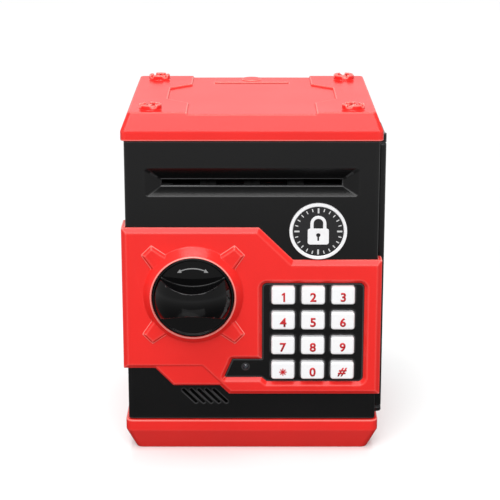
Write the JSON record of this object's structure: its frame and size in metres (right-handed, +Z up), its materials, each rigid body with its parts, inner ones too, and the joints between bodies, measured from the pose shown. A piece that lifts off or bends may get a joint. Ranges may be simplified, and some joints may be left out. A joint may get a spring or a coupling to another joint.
{
  "type": "toy savings bank",
  "caption": "Box-shaped toy cash bank with a motor bill feeder, coin slot, hinged door, bolt knob and push-button keypad.",
  "frame": {"origin": "centre of the base's flat underside, below the middle of the base rim", "axes": "+Z up, -Y towards the front of the door, +X towards the hinge side"},
  "size_m": [0.133, 0.1274, 0.1808],
  "materials": {
    "red_abs": "satin gloss moulded ABS",
    "black_abs": "gloss moulded ABS",
    "knob_black": "polished moulded ABS",
    "key_white": "satin moulded ABS",
    "badge_white": "gloss moulded ABS with printed fields",
    "led_lens": "clear moulded lens",
    "steel": "zinc-plated",
    "board_green": "solder-masked laminate",
    "chip_black": "moulded epoxy",
    "rubber": "matte",
    "frame_grey": "moulded nylon",
    "gear_white": "moulded acetal",
    "brass": "turned",
    "cell_wrap": "shrink sleeve"
  },
  "bodies": {
    "case": {"body_shell": "black_abs", "lid": "red_abs", "base": "red_abs", "lid_screws": "steel", "base_screws": "steel", "hinge_pin_upper": "steel", "hinge_pin_lower": "steel", "latch_keeper": "steel", "keeper_screws": "steel"},
    "door": {"door_shell": "black_abs", "door_panel": "red_abs", "keypad_plate": "black_abs", "badge": "badge_white", "indicator_led": "led_lens", "keypad_mat": "rubber", "keypad_board": "board_green", "board_screws": "steel", "main_board": "board_green", "board_parts": "chip_black", "speaker": "chip_black", "lock_solenoid": "steel", "lock_spring": "steel", "bolt_guide": "frame_grey", "feeder_frame": "frame_grey", "feed_motor": "steel", "bill_sensor": "chip_black", "door_back_cover": "black_abs", "cover_screws": "steel", "battery_cover": "black_abs", "battery_cover_screw": "steel", "batteries": "cell_wrap", "battery_contacts": "steel", "battery_springs": "steel"},
    "knob": {"knob": "knob_black", "cam_disc": "gear_white", "cam_screw": "steel"},
    "bolt": {"latch_bolt": "steel"},
    "plunger": {"lock_plunger": "steel"},
    "feed_roller": {"feed_shaft": "steel", "feed_tyres": "rubber", "feed_gear": "gear_white"},
    "pinch_roller": {"pinch_shaft": "steel", "pinch_tyres": "rubber"},
    "motor_rotor": {"motor_pinion": "brass"},
    "body_key_1": {"key_1": "key_white"},
    "body_key_2": {"key_2": "key_white"},
    "body_key_3": {"key_3": "key_white"},
    "body_key_4": {"key_4": "key_white"},
    "body_key_5": {"key_5": "key_white"},
    "body_key_6": {"key_6": "key_white"},
    "body_key_7": {"key_7": "key_white"},
    "body_key_8": {"key_8": "key_white"},
    "body_key_9": {"key_9": "key_white"},
    "body_key_star": {"key_star": "key_white"},
    "body_key_0": {"key_0": "key_white"},
    "body_key_hash": {"key_hash": "key_white"}
  },
  "joints": [
    {"name": "door_hinge", "type": "hinge", "parent": "case", "child": "door", "pos_m": [0.065, -0.04, 0.0902], "axis": [0, 0, 1], "range_deg": [0, 105]},
    {"name": "knob_turn", "type": "hinge", "parent": "door", "child": "knob", "pos_m": [-0.0295, -0.0597, 0.0854], "axis": [0, -1, 0], "range_deg": [0, 75]},
    {"name": "bolt_slide", "type": "slide", "parent": "door", "child": "bolt", "axis": [-1, 0, 0], "range_m": [0, 0.0065]},
    {"name": "plunger_slide", "type": "slide", "parent": "door", "child": "plunger", "axis": [0, 0, -1], "range_m": [0, 0.003], "deforming": ["lock_spring"]},
    {"name": "feed_roller_spin", "type": "hinge", "parent": "door", "child": "feed_roller", "pos_m": [0, -0.0397, 0.13585], "axis": [1, 0, 0], "continuous": true},
    {"name": "pinch_roller_spin", "type": "hinge", "parent": "door", "child": "pinch_roller", "pos_m": [0, -0.0397, 0.14815], "axis": [1, 0, 0], "continuous": true},
    {"name": "motor_spin", "type": "hinge", "parent": "door", "child": "motor_rotor", "pos_m": [0, -0.0397, 0.12535], "axis": [1, 0, 0], "continuous": true},
    {"name": "press_key_1", "type": "slide", "parent": "door", "child": "body_key_1", "axis": [0, 1, 0], "range_m": [0, 0.0012], "stiffness_N_per_m": 800, "deforming": ["keypad_mat"]},
    {"name": "press_key_2", "type": "slide", "parent": "door", "child": "body_key_2", "axis": [0, 1, 0], "range_m": [0, 0.0012], "stiffness_N_per_m": 800, "deforming": ["keypad_mat"]},
    {"name": "press_key_3", "type": "slide", "parent": "door", "child": "body_key_3", "axis": [0, 1, 0], "range_m": [0, 0.0012], "stiffness_N_per_m": 800, "deforming": ["keypad_mat"]},
    {"name": "press_key_4", "type": "slide", "parent": "door", "child": "body_key_4", "axis": [0, 1, 0], "range_m": [0, 0.0012], "stiffness_N_per_m": 800, "deforming": ["keypad_mat"]},
    {"name": "press_key_5", "type": "slide", "parent": "door", "child": "body_key_5", "axis": [0, 1, 0], "range_m": [0, 0.0012], "stiffness_N_per_m": 800, "deforming": ["keypad_mat"]},
    {"name": "press_key_6", "type": "slide", "parent": "door", "child": "body_key_6", "axis": [0, 1, 0], "range_m": [0, 0.0012], "stiffness_N_per_m": 800, "deforming": ["keypad_mat"]},
    {"name": "press_key_7", "type": "slide", "parent": "door", "child": "body_key_7", "axis": [0, 1, 0], "range_m": [0, 0.0012], "stiffness_N_per_m": 800, "deforming": ["keypad_mat"]},
    {"name": "press_key_8", "type": "slide", "parent": "door", "child": "body_key_8", "axis": [0, 1, 0], "range_m": [0, 0.0012], "stiffness_N_per_m": 800, "deforming": ["keypad_mat"]},
    {"name": "press_key_9", "type": "slide", "parent": "door", "child": "body_key_9", "axis": [0, 1, 0], "range_m": [0, 0.0012], "stiffness_N_per_m": 800, "deforming": ["keypad_mat"]},
    {"name": "press_key_star", "type": "slide", "parent": "door", "child": "body_key_star", "axis": [0, 1, 0], "range_m": [0, 0.0012], "stiffness_N_per_m": 800, "deforming": ["keypad_mat"]},
    {"name": "press_key_0", "type": "slide", "parent": "door", "child": "body_key_0", "axis": [0, 1, 0], "range_m": [0, 0.0012], "stiffness_N_per_m": 800, "deforming": ["keypad_mat"]},
    {"name": "press_key_hash", "type": "slide", "parent": "door", "child": "body_key_hash", "axis": [0, 1, 0], "range_m": [0, 0.0012], "stiffness_N_per_m": 800, "deforming": ["keypad_mat"]}
  ],
  "couplings": [
    {"joint": "bolt_slide", "follows": "knob_turn", "m_per_rad": 0.004965},
    {"joint": "pinch_roller_spin", "follows": "feed_roller_spin", "ratio": -1},
    {"joint": "motor_spin", "follows": "feed_roller_spin", "ratio": -2.5}
  ]
}
